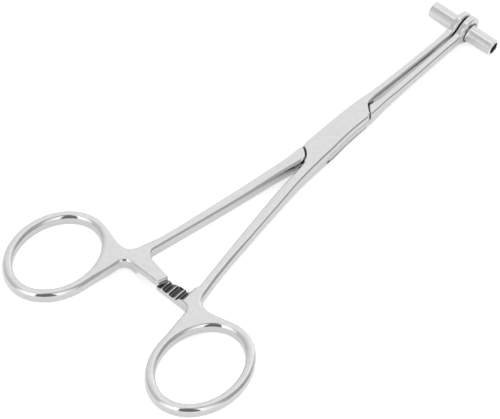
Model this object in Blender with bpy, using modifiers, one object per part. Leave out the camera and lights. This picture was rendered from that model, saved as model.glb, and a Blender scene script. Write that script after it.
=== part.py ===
"""Piercing forceps with receiving tubes: two forged halves in a box lock, a flush rivet and two brazed tubes.

The plan's origin is the pivot: u runs to the jaws, v sideways and z up. Each half is drawn with its shank at +v and
its jaw at -v. The male half stays so, and the female half is turned half a turn about u.
"""
import math

import bmesh
import bpy
from mathutils import Matrix, Vector

MM = 0.001

# Lengths along the instrument, from the pivot
JAW_LENGTH = 60.0 * MM
RING_DISTANCE = 81.9 * MM

# Forged stock
STOCK_HEIGHT = 3.7 * MM
EDGE_RADIUS = 0.75 * MM
THICK_START = 36.0 * MM
THICK_PEAK = 1.0 * MM
THICK_END = 33.0 * MM

# Finger rings and webs
RING_OFFSET = 24.34 * MM
RING_LENGTH = 31.1 * MM
RING_BREADTH = 24.1 * MM
RING_STOCK = 2.64 * MM
WEB_START = 59.5 * MM
WEB_THROAT = (-65.4 * MM, 11.25 * MM)
WEB_FRONT_ANGLE = -10.0
WEB_REAR_ANGLE = -98.5
WEB_REAR_FILLET = 2.3 * MM

# Shanks
SHANK_WIDTH = 2.65 * MM
SHANK_WIDTH_AT_LOCK = 3.1 * MM
SHANK_SETBACK = 25.0 * MM
SHANK_OFFSET = 3.37 * MM
SHANK_SLOPE = 0.127
SHANK_CURVE = 0.6
SHANK_SHIFT = 0.22 * MM

# Box lock
LOCK_WIDTH = 6.6 * MM
LOCK_HEIGHT = 5.8 * MM
LOCK_SHOULDER = 3.95 * MM
LOCK_WIDENS = 6.0 * MM
LOCK_ENTRY = 9.5 * MM
ENTRY_REACH = 4.8 * MM
ENTRY_DEPTH = 1.0 * MM
ENTRY_OPENING = 0.15 * MM
LOCK_EXIT = 11.95 * MM
EXIT_REACH = 3.2 * MM
EXIT_OPENING = 0.6 * MM
WAIST_HEIGHT = 1.8 * MM
WAIST_RADIUS = 7.3 * MM
PIN_DIAMETER = 2.5 * MM
FIT_GAP = 0.3 * MM

# Jaws, pads and tubes
JAW_WIDTH_AT_LOCK = 2.4 * MM
JAW_WIDTH_AT_PAD = 1.95 * MM
JAW_HEIGHT = 3.1 * MM
JAW_GAP = 0.8 * MM
PAD_RADIUS = 4.7 * MM
PAD_DROP = 3.4 * MM
PAD_THICKNESS = 2.2 * MM
PAD_GAP = 0.3 * MM
PAD_RIM = 0.55 * MM
FLARE_START = 8.0 * MM
FLARE_END = 2.6 * MM
FLARE_RISE = 1.8 * MM
FLARE_DROP = 0.8 * MM
TUBE_DIAMETER = 5.05 * MM
TUBE_BORE = 3.5 * MM
TUBE_REACH = 11.0 * MM
TUBE_CHAMFER = 0.2 * MM
BRAZE_WIDTH = 0.75 * MM

# Ratchet
BAR_DISTANCE = 69.45 * MM
BAR_WIDTH = 3.5 * MM
BAR_ROOT_WIDTH = 5.0 * MM
BAR_PAST_CENTRE = 0.75 * MM
BAR_END_SLANT = 1.0 * MM
BAR_ROOT_FILLET = 2.6 * MM
TOOTH_PITCH = 2.3 * MM
TOOTH_DEPTH = 0.75 * MM
TOOTH_CREST = 0.35 * MM
TOOTH_COUNT = 3

# The finished part stands with the centre of its base at the origin
REAR_REACH = RING_DISTANCE + RING_LENGTH / 2
FRONT_REACH = JAW_LENGTH + PAD_RADIUS
PIVOT = Vector(((REAR_REACH - FRONT_REACH) / 2, 0.0, PAD_DROP))

ARC_STEP = math.radians(11.0)
STATION_STEP = 2.6 * MM
FAR = 12.0 * MM


def arc(centre, radius_u, radius_v, start, end):
    """Points on an arc of an ellipse, from one angle to another, both in degrees."""
    start = math.radians(start)
    end = math.radians(end)
    count = max(2, round(abs(end - start) / ARC_STEP))
    angles = [start + (end - start) * i / count for i in range(count + 1)]
    return [(centre[0] + radius_u * math.cos(a), centre[1] + radius_v * math.sin(a)) for a in angles]


def fillet(before, corner, after, radius):
    """Points that round the corner between two straight edges."""
    corner = Vector(corner)
    to_before = (Vector(before) - corner).normalized()
    to_after = (Vector(after) - corner).normalized()
    half = to_before.angle(to_after) / 2
    reach = radius / math.tan(half)
    centre = corner + (to_before + to_after).normalized() * (radius / math.sin(half))
    first = corner + to_before * reach - centre
    last = corner + to_after * reach - centre
    start = math.atan2(first.y, first.x)
    turn = (math.atan2(last.y, last.x) - start + math.pi) % (2 * math.pi) - math.pi
    return arc(centre, radius, radius, math.degrees(start), math.degrees(start + turn))


def bend(start, start_heading, end, end_heading, count, pull=0.36):
    """Points on a smooth turn between two points, whose headings are in degrees."""
    start = Vector(start)
    end = Vector(end)
    reach = (end - start).length * pull
    leave = start + reach * Vector((math.cos(math.radians(start_heading)), math.sin(math.radians(start_heading))))
    enter = end - reach * Vector((math.cos(math.radians(end_heading)), math.sin(math.radians(end_heading))))
    points = []
    for i in range(count + 1):
        t = i / count
        s = 1 - t
        points.append(tuple(s**3 * start + 3 * s * s * t * leave + 3 * s * t * t * enter + t**3 * end))
    return points


def ease(t):
    """A smooth step from 0 to 1."""
    t = min(1.0, max(0.0, t))
    return t * t * (3 - 2 * t)


def stock_reach(u, side):
    """How far the forging reaches above (side 1) or below (side -1) its middle: it swells at the lock and flares
    into the pad."""
    if u < THICK_PEAK:
        swelling = ease((u + THICK_START) / (THICK_PEAK + THICK_START))
        return (STOCK_HEIGHT + (LOCK_HEIGHT - STOCK_HEIGHT) * swelling) / 2
    if u < THICK_END:
        thinning = ease((u - THICK_PEAK) / (THICK_END - THICK_PEAK))
        return (LOCK_HEIGHT + (JAW_HEIGHT - LOCK_HEIGHT) * thinning) / 2
    flare = ease((u - JAW_LENGTH + FLARE_START) / (FLARE_START - FLARE_END))
    return JAW_HEIGHT / 2 + (FLARE_RISE if side > 0 else FLARE_DROP) * flare


def shank_edge(u, shift, side):
    """A point on a shank's outer or inner edge, side 1 or -1."""
    back = -SHANK_SETBACK - u
    middle = SHANK_OFFSET + shift + SHANK_SLOPE * back + SHANK_CURVE * back * back
    narrow = ease(back / (BAR_DISTANCE - SHANK_SETBACK - FAR))
    width = SHANK_WIDTH_AT_LOCK + (SHANK_WIDTH - SHANK_WIDTH_AT_LOCK) * narrow
    return (u, middle + side * width / 2)


def exit_notch():
    """The front edge of the box's plates, from its right side to the jaw, as the male half sees it."""
    start = (LOCK_EXIT, -LOCK_WIDTH / 2)
    end = (LOCK_EXIT + EXIT_REACH, JAW_GAP / 2)
    return bend(start, 58, end, 38, 5)


def entry_notch():
    """The rear edge of the box's plates, from its left side to the female shank, as the male half sees it."""
    start = (-LOCK_ENTRY, LOCK_WIDTH / 2)
    end = (-LOCK_ENTRY - ENTRY_REACH, -ENTRY_DEPTH)
    return bend(start, 253, end, 186, 6)


def flip(points):
    """The same points on the other side of the centre line, in the reverse order."""
    return [(u, -v) for u, v in reversed(points)]


def jaw_outline():
    """The jaw's edge from the lock's side round its end, which the pad hides, and back to the lock."""
    root = LOCK_EXIT + EXIT_REACH
    outer_root = -JAW_GAP / 2 - JAW_WIDTH_AT_LOCK
    outer_end = -JAW_GAP / 2 - JAW_WIDTH_AT_PAD
    tip = JAW_LENGTH - FLARE_END
    rounding = JAW_WIDTH_AT_PAD / 2
    points = [(root, outer_root), (THICK_END * 0.75, outer_root), (tip - rounding, outer_end)]
    points += arc((tip - rounding, -JAW_GAP / 2 - rounding), rounding, rounding, -90, 90)[1:]
    return points


def ring_and_web(shift):
    """The half's edge from the shank's outer side over the web, the ring and the ratchet bar to the shank again."""
    centre = (-RING_DISTANCE, RING_OFFSET)
    radius_u = RING_LENGTH / 2
    radius_v = RING_BREADTH / 2
    ring = arc(centre, radius_u, radius_v, WEB_FRONT_ANGLE, 180)
    ring += arc(centre, radius_u, radius_v, 180, WEB_REAR_ANGLE + 360)[1:]
    throat = bend(WEB_THROAT, 166, ring[0], 77, 7, 0.5)
    points = throat[:-1] + ring
    slope = math.radians(WEB_REAR_ANGLE)
    leave = Vector((-radius_u * math.sin(slope), radius_v * math.cos(slope))).normalized()
    rear = -BAR_DISTANCE - BAR_WIDTH / 2
    front = rear + BAR_WIDTH
    corner = Vector(ring[-1]) + leave * ((rear - ring[-1][0]) / leave.x)
    tip_rear = (rear, -BAR_PAST_CENTRE + BAR_END_SLANT / 2)
    tip_front = (front, -BAR_PAST_CENTRE - BAR_END_SLANT / 2)
    points += fillet(ring[-1], corner, tip_rear, WEB_REAR_FILLET)
    points += fillet(corner, tip_rear, tip_front, EDGE_RADIUS * 1.02)
    root = shank_edge(rear + BAR_ROOT_WIDTH, shift, -1)
    points += fillet(tip_rear, tip_front, root, EDGE_RADIUS * 1.02)
    points += fillet(tip_front, root, shank_edge(-WEB_START, shift, -1), BAR_ROOT_FILLET)
    return points


def shank_points(shift, side):
    """A shank's edge from the web to the lock."""
    span = WEB_START - SHANK_SETBACK
    count = round(span / (4 * STATION_STEP))
    return [shank_edge(-WEB_START + span * i / count, shift, side) for i in range(count + 1)]


def lock_side(u):
    """The lock's half width on the side where the box grows into the female shank."""
    grown = ease((LOCK_WIDENS - u) / (LOCK_WIDENS + LOCK_ENTRY))
    return LOCK_WIDTH / 2 + (LOCK_SHOULDER - LOCK_WIDTH / 2) * grown


def male_outline():
    """The male half's closed edge, with its waist trimmed to the box's sides."""
    shift = -SHANK_SHIFT
    side = LOCK_WIDTH / 2
    lean = math.degrees(math.asin(side / WAIST_RADIUS))
    wide_lean = math.degrees(math.asin(lock_side(-WAIST_RADIUS) / WAIST_RADIUS))
    neck = math.degrees(math.asin(JAW_GAP / 2 / WAIST_RADIUS))
    inner = shank_points(shift, -1)
    outer = shank_points(shift, 1)
    neck_rear = (-LOCK_ENTRY - ENTRY_REACH, -ENTRY_DEPTH + FIT_GAP)
    points = ring_and_web(shift) + inner[:-1]
    points += bend(inner[-1], -8, neck_rear, -5, 5)
    points += arc((0, 0), WAIST_RADIUS, WAIST_RADIUS, 180 + neck, 180 + wide_lean)
    points += [(u, -lock_side(u)) for u in (-LOCK_WIDENS / 2, 0, LOCK_WIDENS / 2, LOCK_WIDENS)]
    points += jaw_outline()
    points += arc((0, 0), WAIST_RADIUS, WAIST_RADIUS, neck, lean)
    points += bend((-LOCK_ENTRY, side), 180, outer[-1], 172, 4)
    points += list(reversed(outer[:-1]))
    return points


def female_outline():
    """The female half's closed edge, drawn on the male half's side."""
    shift = SHANK_SHIFT
    side = LOCK_WIDTH / 2
    inner = shank_points(shift, -1)
    outer = shank_points(shift, 1)
    rounding = EDGE_RADIUS * 1.05
    rear = flip(entry_notch())
    front = flip(exit_notch())
    points = ring_and_web(shift) + inner[:-1]
    points += bend(inner[-1], -7, rear[0], -8, 4)
    points += rear[1:-1]
    points += fillet(rear[-2], rear[-1], (0, -side), rounding)
    points += jaw_outline()
    points += front[:-1]
    points += fillet(front[-2], front[-1], (0, side), rounding)
    points += [(u, lock_side(u)) for u in (LOCK_WIDENS, LOCK_WIDENS / 2, 0, -LOCK_WIDENS / 2, -LOCK_WIDENS)]
    points += bend((-LOCK_ENTRY, LOCK_SHOULDER), 177, outer[-1], 172, 4)
    points += list(reversed(outer[:-1]))
    return points


def new_collection(name):
    """A collection linked to the scene."""
    collection = bpy.data.collections.new(name)
    bpy.context.scene.collection.children.link(collection)
    return collection


def material(name, colour, metallic, roughness):
    """A plain Principled material."""
    made = bpy.data.materials.new(name)
    made.use_nodes = True
    shader = made.node_tree.nodes["Principled BSDF"]
    shader.inputs["Base Color"].default_value = (*colour, 1.0)
    shader.inputs["Metallic"].default_value = metallic
    shader.inputs["Roughness"].default_value = roughness
    return made


def add_spline(curve, points):
    """A closed straight-sided spline through points in the plan."""
    spline = curve.splines.new("POLY")
    spline.points.add(len(points) - 1)
    for place, (u, v) in zip(spline.points, points):
        place.co = (u, v, 0.0, 1.0)
    spline.use_cyclic_u = True


def plate(name, outlines, height, edge, collection, frame=Matrix.Identity(4)):
    """A flat body extruded from closed outlines in a frame's x and y, half of its height each way in z, with edges
    rounded by the edge radius. The curve is turned into a welded mesh."""
    curve = bpy.data.curves.new(name + "_outline", "CURVE")
    curve.dimensions = "2D"
    curve.fill_mode = "BOTH"
    curve.extrude = height / 2 - edge
    curve.bevel_depth = edge
    curve.bevel_resolution = 2
    curve.offset = -edge
    for outline in outlines:
        add_spline(curve, outline)
    drawn = bpy.data.objects.new(name + "_outline", curve)
    collection.objects.link(drawn)
    bpy.context.view_layer.update()
    evaluated = drawn.evaluated_get(bpy.context.evaluated_depsgraph_get())
    mesh = bpy.data.meshes.new_from_object(evaluated)
    bpy.data.objects.remove(drawn)
    bpy.data.curves.remove(curve)
    mesh.name = name
    mesh.materials.clear()
    weld(mesh)
    body = bpy.data.objects.new(name, mesh)
    body.matrix_basis = frame
    collection.objects.link(body)
    return body


def weld(mesh):
    """Closes the seams of a mesh and turns its faces outward."""
    shape = bmesh.new()
    shape.from_mesh(mesh)
    bmesh.ops.remove_doubles(shape, verts=shape.verts, dist=0.00001)
    bmesh.ops.recalc_face_normals(shape, faces=shape.faces)
    shape.to_mesh(mesh)
    shape.free()


def swell(body, top):
    """Cuts the body at stations and gives it the forging's height at each; top is the z sign that ends up above."""
    shape = bmesh.new()
    shape.from_mesh(body.data)
    first = -THICK_START
    last = JAW_LENGTH - FLARE_END
    count = round((last - first) / STATION_STEP)
    for i in range(count):
        station = Vector((first + (last - first) * i / count, 0, 0))
        everything = shape.verts[:] + shape.edges[:] + shape.faces[:]
        bmesh.ops.bisect_plane(shape, geom=everything, dist=0.000001, plane_co=station, plane_no=(1, 0, 0))
    for vert in shape.verts:
        side = math.copysign(1, vert.co.z)
        vert.co.z += side * (stock_reach(vert.co.x, side * top) - STOCK_HEIGHT / 2)
    bmesh.ops.triangulate(shape, faces=shape.faces)
    shape.to_mesh(body.data)
    shape.free()


def turned(name, profile, frame, segments, collection):
    """A turned body: a profile of (radius, height) points swept about the frame's z axis by a Screw modifier."""
    closed = min(radius for radius, height in profile) > 0
    count = len(profile)
    points = [(radius, 0.0, height) for radius, height in profile]
    edges = [(i, (i + 1) % count) for i in range(count if closed else count - 1)]
    mesh = bpy.data.meshes.new(name)
    mesh.from_pydata(points, edges, [])
    body = bpy.data.objects.new(name, mesh)
    body.matrix_basis = frame
    collection.objects.link(body)
    sweep = body.modifiers.new("Turned", "SCREW")
    sweep.axis = "Z"
    sweep.angle = math.radians(360)
    sweep.steps = segments
    sweep.render_steps = segments
    sweep.use_merge_vertices = True
    sweep.merge_threshold = 0.00001
    sweep.use_normal_flip = True
    sweep.use_smooth_shade = True
    return body


def drill(name, radius, frame, segments, collection):
    """A round cutter along the frame's z axis that runs past both sides."""
    shape = bmesh.new()
    bmesh.ops.create_cone(shape, cap_ends=True, segments=segments, radius1=radius, radius2=radius, depth=2 * FAR)
    mesh = bpy.data.meshes.new(name)
    shape.to_mesh(mesh)
    shape.free()
    body = bpy.data.objects.new(name, mesh)
    body.matrix_basis = frame
    collection.objects.link(body)
    return body


def hide_as_cutter(body):
    """Shows a cutter as wires only."""
    body.hide_render = True
    body.display_type = "WIRE"


def combine(body, other, operation):
    """Adds an exact Boolean with another body."""
    change = body.modifiers.new(operation.title() + "_" + other.name, "BOOLEAN")
    change.operation = operation
    change.solver = "EXACT"
    change.object = other


def shade_round(body):
    """Smooth shading with crisp edges."""
    for face in body.data.polygons:
        face.use_smooth = True
    body.data.set_sharp_from_angle(angle=math.radians(35))


def rounded_pin(radius, reach, rim):
    """The profile of a round pin with rounded rims, from its lower centre to its upper centre."""
    profile = [(0.0, -reach)]
    profile += arc((radius - rim, rim - reach), rim, rim, -90, 0)
    profile += arc((radius - rim, reach - rim), rim, rim, 0, 90)
    profile += [(0.0, reach)]
    return profile


def sideways(u, along=0.0):
    """A frame on the tube's axis whose x is u and whose z points to -v, moved along that by a distance."""
    turn = Matrix.Rotation(math.radians(90), 4, "X")
    return Matrix.Translation((u, 0, 0)) @ turn @ Matrix.Translation((0, 0, along))


def pad_outline(top):
    """The pad seen along the tube: round on the side that ends up above, flatter on the other."""
    above = arc((0, 0), PAD_RADIUS, PAD_RADIUS, 0, 180)
    below = arc((0, 0), PAD_RADIUS, PAD_DROP, 180, 360)
    return [(x, y * top) for x, y in above[:-1] + below[:-1]][::top]


def ratchet_profile():
    """The stock that is cut away under the male bar: a slab whose top is the row of teeth, in (v, z)."""
    start = -BAR_PAST_CENTRE
    face = FIT_GAP / 2
    profile = [(start - FAR, -FAR), (start + TOOTH_PITCH * (TOOTH_COUNT + 0.35), -FAR)]
    profile += [(start + TOOTH_PITCH * (TOOTH_COUNT + 0.35), face)]
    for i in reversed(range(TOOTH_COUNT)):
        crest = start + TOOTH_PITCH * (i + 1)
        profile += [(crest, face), (crest, face + TOOTH_DEPTH), (crest - TOOTH_PITCH + TOOTH_CREST, face)]
    profile += [(start - FAR, face)]
    return profile


def build_half(name, outline, top, collection, cutters):
    """A half's forging with its ring's hole, its pad and its share of the ratchet, before the lock is cut."""
    hole_u = RING_LENGTH / 2 - RING_STOCK
    hole_v = RING_BREADTH / 2 - RING_STOCK
    hole = arc((-RING_DISTANCE, RING_OFFSET), hole_u, hole_v, 360, 0)[:-1]
    body = plate(name, [outline, hole], STOCK_HEIGHT, EDGE_RADIUS, collection)
    swell(body, top)
    pad_frame = sideways(JAW_LENGTH, (PAD_GAP + PAD_THICKNESS) / 2)
    pad = plate(name + "_pad", [pad_outline(top)], PAD_THICKNESS, PAD_RIM, cutters, pad_frame)
    across = Matrix(((0, 0, 1, -BAR_DISTANCE), (1, 0, 0, 0), (0, 1, 0, 0), (0, 0, 0, 1)))
    teeth = plate(name + "_teeth_cutter", [ratchet_profile()], BAR_WIDTH * 3, 0.0, cutters, across)
    seat = drill(name + "_tube_cutter", TUBE_DIAMETER / 2 + FIT_GAP, sideways(JAW_LENGTH), 32, cutters)
    hole = drill(name + "_pin_cutter", PIN_DIAMETER / 2 + FIT_GAP, Matrix.Identity(4), 24, cutters)
    combine(body, pad, "UNION")
    combine(body, teeth, "DIFFERENCE")
    combine(body, seat, "DIFFERENCE")
    combine(body, hole, "DIFFERENCE")
    return body


def opened(notch, gap, opening):
    """A shoulder's line: the notch's line moved along by a gap that widens toward its far end."""
    last = len(notch) - 1
    return [(u + gap + opening * i / last, v) for i, (u, v) in enumerate(notch)]


def waist_cutters(cutters):
    """Two slabs that leave the male half's waist between them; their ends are the shoulders at the notches."""
    entry = opened(entry_notch(), -FIT_GAP, -ENTRY_OPENING)
    leaving = opened(exit_notch(), FIT_GAP, EXIT_OPENING)
    profile = [(entry[0][0] + 1 * MM, FAR)] + entry + [(entry[-1][0], -FAR), (leaving[0][0] - 2 * MM, -FAR)]
    profile += leaving + [(leaving[-1][0] + 1 * MM, FAR)]
    depth = FAR
    made = []
    for sign, side in ((1, "upper"), (-1, "lower")):
        lift = Matrix.Translation((0, 0, sign * (WAIST_HEIGHT / 2 + depth / 2)))
        made.append(plate("male_waist_cutter_" + side, [profile], depth, 0.0, cutters, lift))
    return made


def slot_cutter(cutters):
    """The box's slot, open where the waist swings: right in front and left behind, as the male half sees it."""
    radius = WAIST_RADIUS + FIT_GAP
    front_edge = JAW_GAP / 2 + FIT_GAP
    rear_edge = ENTRY_DEPTH
    front_lean = math.degrees(math.asin(front_edge / radius))
    rear_lean = math.degrees(math.asin(rear_edge / radius))
    profile = arc((0, 0), radius, radius, front_lean, 90)
    profile += [(0, FAR), (-2 * FAR, FAR), (-2 * FAR, -rear_edge)]
    profile += arc((0, 0), radius, radius, 180 + rear_lean, 270)
    profile += [(0, -FAR), (2 * FAR, -FAR), (2 * FAR, front_edge)]
    return plate("female_slot_cutter", [flip(profile)], WAIST_HEIGHT + 2 * FIT_GAP, 0.0, cutters)


def tube(name, collection):
    """A receiving tube with a bright bevelled mouth and the braze's fillet at its root."""
    outer = TUBE_DIAMETER / 2
    inner = TUBE_BORE / 2
    root = PAD_GAP / 2
    braze = root + PAD_THICKNESS + FIT_GAP
    profile = [(inner, root), (outer, root), (outer, braze), (outer + BRAZE_WIDTH, braze)]
    profile += [(outer + BRAZE_WIDTH * 0.3, braze + BRAZE_WIDTH * 0.3), (outer, braze + BRAZE_WIDTH)]
    profile += [(outer, TUBE_REACH - TUBE_CHAMFER), (outer - TUBE_CHAMFER, TUBE_REACH)]
    profile += [(inner + TUBE_CHAMFER, TUBE_REACH), (inner, TUBE_REACH - TUBE_CHAMFER)]
    return turned(name, profile, sideways(JAW_LENGTH), 36, collection)


def half_pivot(name, turned_over, collection):
    """The empty on the lock's axis that carries a half's pieces."""
    empty = bpy.data.objects.new(name, None)
    empty.empty_display_size = 10 * MM
    empty.location = PIVOT
    if turned_over:
        empty.rotation_euler.x = math.pi
    collection.objects.link(empty)
    return empty


def main():
    for existing in list(bpy.data.objects):
        bpy.data.objects.remove(existing)
    parts = new_collection("piercing_forceps")
    cutters = new_collection("cutters")
    steel = material("polished_steel_female", (0.68, 0.69, 0.70), 1.0, 0.18)
    steel_male = material("polished_steel_male", (0.67, 0.68, 0.69), 1.0, 0.18)
    pin_steel = material("ground_steel_pin", (0.64, 0.65, 0.66), 1.0, 0.25)
    tube_steel = material("turned_steel_tube", (0.70, 0.70, 0.71), 1.0, 0.15)

    male = build_half("male_half", male_outline(), 1, parts, cutters)
    for cutter in waist_cutters(cutters):
        combine(male, cutter, "DIFFERENCE")
    female = build_half("female_half", female_outline(), -1, parts, cutters)
    combine(female, slot_cutter(cutters), "DIFFERENCE")
    pin_profile = rounded_pin(PIN_DIAMETER / 2, LOCK_HEIGHT / 2, TUBE_CHAMFER)
    pin = turned("pivot_pin", pin_profile, Matrix.Identity(4), 24, parts)
    male_tube = tube("male_tube", parts)
    female_tube = tube("female_tube", parts)

    male_pivot = half_pivot("male_pivot", False, parts)
    female_pivot = half_pivot("female_pivot", True, parts)
    for body in (male, female, pin, male_tube, female_tube, *cutters.objects):
        body.parent = male_pivot if body.name.startswith("male") else female_pivot
        shade_round(body)
    for cutter in cutters.objects:
        hide_as_cutter(cutter)
    male.data.materials.append(steel_male)
    female.data.materials.append(steel)
    pin.data.materials.append(pin_steel)
    for body in (male_tube, female_tube):
        body.data.materials.append(tube_steel)


main()
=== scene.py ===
"""Looks of the piercing forceps: polished forgings, flush rivet, brazed tubes, stage, light and camera.

Lengths are millimetres in a plan whose origin is the pivot: u runs to the jaws, v sideways and z up.
Each half is drawn with its shank at +v and its jaw at -v. The female half is then turned over about u.
"""
import math

import bmesh
import bpy
import numpy as np
from mathutils import Matrix, Vector


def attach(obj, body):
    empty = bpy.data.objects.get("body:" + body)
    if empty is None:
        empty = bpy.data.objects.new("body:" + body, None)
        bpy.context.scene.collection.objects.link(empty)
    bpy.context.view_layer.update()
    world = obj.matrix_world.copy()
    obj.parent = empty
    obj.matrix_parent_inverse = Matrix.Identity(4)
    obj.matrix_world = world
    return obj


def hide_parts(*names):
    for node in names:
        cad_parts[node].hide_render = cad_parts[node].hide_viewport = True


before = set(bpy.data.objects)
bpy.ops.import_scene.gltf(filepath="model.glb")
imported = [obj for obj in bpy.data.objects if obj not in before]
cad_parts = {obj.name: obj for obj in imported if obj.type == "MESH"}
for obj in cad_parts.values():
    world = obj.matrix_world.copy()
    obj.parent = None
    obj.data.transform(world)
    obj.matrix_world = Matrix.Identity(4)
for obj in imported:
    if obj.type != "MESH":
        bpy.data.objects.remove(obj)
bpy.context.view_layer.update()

MM = 0.001

# The plan, as in the part
JAW_LENGTH = 60.0
JAW_JOIN = 12
RING_DISTANCE = 81.9
RING_OFFSET = 24.34
RING_LENGTH = 31.1
RING_BREADTH = 24.1
RING_STOCK = 2.64
STOCK_HEIGHT = 3.7
THICK_START = 36.0
THICK_PEAK = 1.0
THICK_END = 33.0
WEB_START = 59.5
WEB_THROAT = (-65.4, 11.25)
WEB_FRONT_ANGLE = -10.0
WEB_REAR_ANGLE = -98.5
WEB_REAR_FILLET = 2.3
SHANK_WIDTH = 2.65
SHANK_WIDTH_AT_LOCK = 3.1
SHANK_SETBACK = 25.0
SHANK_OFFSET = 3.37
SHANK_SLOPE = 0.127
SHANK_CURVE = 0.0006
SHANK_SHIFT = 0.22
SHANK_EVEN = 12.0
SHANK_HEADING = 172
LOCK_WIDTH = 6.6
LOCK_HEIGHT = 5.8
LOCK_SHOULDER = 3.95
LOCK_WIDENS = 6.0
LOCK_ENTRY = 9.5
ENTRY_REACH = 4.8
ENTRY_DEPTH = 1.0
ENTRY_HEADINGS = (253, 186)
ENTRY_GAP = 0.42
ENTRY_OPENING = 0.3
SHOULDER_CORNER = -0.4
LOCK_EXIT = 11.95
EXIT_REACH = 3.2
EXIT_HEADINGS = (58, 38)
EXIT_GAP = 0.1
EXIT_OPENING = 0.75
WAIST_HEIGHT = 2.0
WAIST_RADIUS = 7.3
WAIST_ROOT = ((-17.0, 1.6), (-15.6, -0.2))
WAIST_INSET = 0.3
WAIST_GAP = 0.1
WAIST_GAP_BELOW = 0.25
SLOT_REAR_RADIUS = 8.4
PIN_DIAMETER = 2.5
PIN_SEAM = 0.004
JAW_WIDTH_AT_LOCK = 2.5
JAW_TAPER_START = 24.75
JAW_TAPER_END = 52.0
JAW_HEIGHT = 3.1
JAW_GAP = 0.6
JAW_SPREAD = 0.35
PAD_RADIUS = 4.7
PAD_DROP = 3.4
PAD_THICKNESS = 2.14
PAD_GAP = 0.42
PAD_RIM = 0.55
PAD_CORNER = 0.7
PAD_FILLET = 4.0
TUBE_DIAMETER = 5.05
TUBE_BORE = 3.5
TUBE_REACH = 11.0
TUBE_SEAM = 0.02
BRAZE_WIDTH = 0.6
TOE_HEIGHT = 0.08
TOE_ROUND = 0.22
TOE_SEAT = 0.1
TOE_INSET = 0.3
TOE_WIDTH = 0.5
LIP_CHAMFER = 0.16
LIP_ROUND = 0.06
BAR_DISTANCE = 69.45
BAR_WIDTH = 3.5
BAR_ROOT_WIDTH = 5.0
BAR_PAST_CENTRE = 0.75
BAR_END_SLANT = 1.0
BAR_ROOT_FILLET = 2.6
TOOTH_PITCH = 2.18
TOOTH_DEPTH = 0.75
TOOTH_CREST = 0.2
TOOTH_COUNT = 4
TOOTH_GAP = 0.3
FIRST_CREST = -0.85
GROOVE_RIM = 0.2
GROOVE_END = 0.6
GROOVE_OVERRUN = 0.6
SCOOP_OVERRUN = 1.0
SCOOP_FADE = 1.4
VALLEY_SHARE = 0.16
VALLEY_WIDTH = 0.1
VALLEY_MARGIN = 0.02
GROOVE_TAPER = 0.985
GROOVE_NARROW = 0.4
TAPER_STEPS = 7
SCOOP_LENGTH = 2.6
WEB_RISE = 1.9
CUT_CLEARANCE = 0.1

# The lower seam of the lock: u, and the distances below the middle between which it is cut
SEAM_REAR = (-7.35, 0.95, 2.3)
SEAM_MIDDLE = (1.5, 0.98, 1.6)
SEAM_FRONT = (11.6, 0.98, 1.5)
SEAM_SIDE = 4.2
SEAM_DEPTH = 3.2

# Section of the forgings: the rounding of the edges, and how far the sides bulge
RING_EDGE = 1.2
STOCK_EDGE = 0.74
SHANK_END_EDGE = 1.2
LOCK_EDGE = 0.8
JAW_EDGE = 0.7
LOCK_EDGE_BELOW = 1.1
NOTCH_EDGE = 0.14
SHOULDER_EDGE = 0.5
LOCK_BULGE = 0.25
STOCK_BULGE = 0.12
JAW_BULGE = 0.12
CROWN_ABOVE = 1.2
BAR_CORNER = STOCK_EDGE * 1.1

# Corners of the plan: how far each is rounded along both of its sides
SHOULDER_ROUND = 1.25
THROAT_ROUND = 0.9
JAW_ROOT_ROUND = 0.7
JAW_CORNER_ROUND = 1.0
NOTCH_ROUND = 1.3

# Blends along u: where each begins and how long it takes. The shank's end counts towards the ring,
# and the spread's beginning from the exit notch.
LOCK_EDGE_BEGINS = (-30, 15)
LOCK_EDGE_ENDS = (12, 10)
PAD_RIM_BEGINS = (48, 5)
SHANK_END_BEGINS = (42, 12)
LOCK_BULGE_BEGINS = (-26, 16)
LOCK_BULGE_ENDS = (9, 9)
JAW_BULGE_BEGINS = (14, 6)
BULGE_ENDS = (44, 6)
SPREAD_BEGINS = (0.3, 5.0)
SPREAD_ENDS = (16.0, 34.0)
PAD_CLOSES = (JAW_LENGTH - 9.0, 6.0)
PAD_BEGINS = (JAW_LENGTH - 9.5, 2.0)

# Blends across: how far the notches' edges reach past them, and the ring's as a share of its radius
NOTCH_MARGIN = 0.2
RING_BLEND = 0.14

REAR_REACH = RING_DISTANCE + RING_LENGTH / 2
FRONT_REACH = JAW_LENGTH + PAD_RADIUS
PIVOT = Vector(((REAR_REACH - FRONT_REACH) / 2, 0.0, PAD_DROP)) * MM

# Mesh: the longest and shortest steps along an outline, the reach of through cuts, the distance that welds
FINE = 0.45
CLOSEST = 0.02
FAR = 14.0
WELD = 0.001
HOLE_SIDES = 6
WALL_STEPS = 5
EDGE_STEPS = 7
LEAN_ROUNDS = 6
SLIVER = 0.0005
SHARP_ANGLE = 32
NORMAL_WEIGHT = 60
TURNED_STEPS = 128
ROUND_HOLE_STEPS = 96
PIN_STEPS = 64

# Finishes: material slots. The second is painted shade; the last is sliding on a forging, and unpolished
# steel with painted shade on a cutter
POLISHED = 0
SHADED = 1
SLIDING = 2
UNPOLISHED_AND_SHADE = 2

# Steel: polishing marks along the instrument, and the slight waves that hand polishing leaves
MARK_SCALE = 9000.0
MARK_STRETCH = 0.06
MARK_HAZE = 0.35
HAZE_RANGE = (0.45, 0.9)
GLOSS_SPREAD = (0.75, 1.3)
MARK_DEPTH = 0.0015
WAVE_SCALE = 260.0
WAVE_DEPTH = 0.03
TONE_SPREAD = 0.07
# Painted shade in the ratchet's grooves and scoop: its dark level, and the distances from the middle line
# between which it lifts to the steel's colour
GROOVE_DARK = 0.21
SCOOP_SHADE_START = 6.4
SCOOP_SHADE_END = 8.7

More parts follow.
